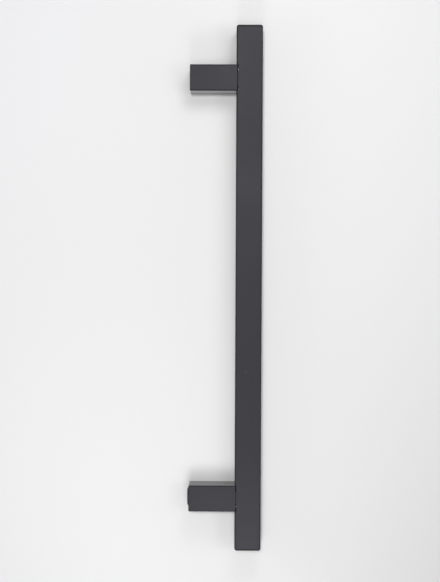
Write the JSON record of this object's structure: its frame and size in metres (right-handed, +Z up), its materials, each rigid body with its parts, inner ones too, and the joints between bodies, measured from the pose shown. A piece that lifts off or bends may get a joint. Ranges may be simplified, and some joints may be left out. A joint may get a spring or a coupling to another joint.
{
  "type": "door pull handle",
  "caption": "Straight square bar pull handle for a door, on square posts let into its back, with threaded fixing bosses in the feet.",
  "frame": {"origin": "midway between the axes of the two fixing bosses, on the face of the door that the feet stand on", "axes": "+X leaves the door through the posts to the grip, +Y runs across the door, +Z runs up the grip"},
  "size_m": [0.0702, 0.025, 0.5],
  "materials": {
    "coated_grip": "matt dark grey powder coat on aluminium tube",
    "coated_posts": "matt dark grey powder coat on solid aluminium",
    "blackened_steel": "black oxide, lightly oiled",
    "plated_steel": "bright zinc plating"
  },
  "bodies": {
    "root": {"grip_bar": "coated_grip", "upper_end_cap": "coated_grip", "lower_end_cap": "coated_grip", "upper_post": "coated_posts", "lower_post": "coated_posts", "upper_nut_block": "plated_steel", "lower_nut_block": "plated_steel", "upper_joint_screw": "blackened_steel", "lower_joint_screw": "blackened_steel", "upper_lock_washer": "plated_steel", "lower_lock_washer": "plated_steel", "upper_fixing_boss": "blackened_steel", "lower_fixing_boss": "blackened_steel", "upper_grub_screw": "blackened_steel", "lower_grub_screw": "blackened_steel"}
  },
  "joints": []
}
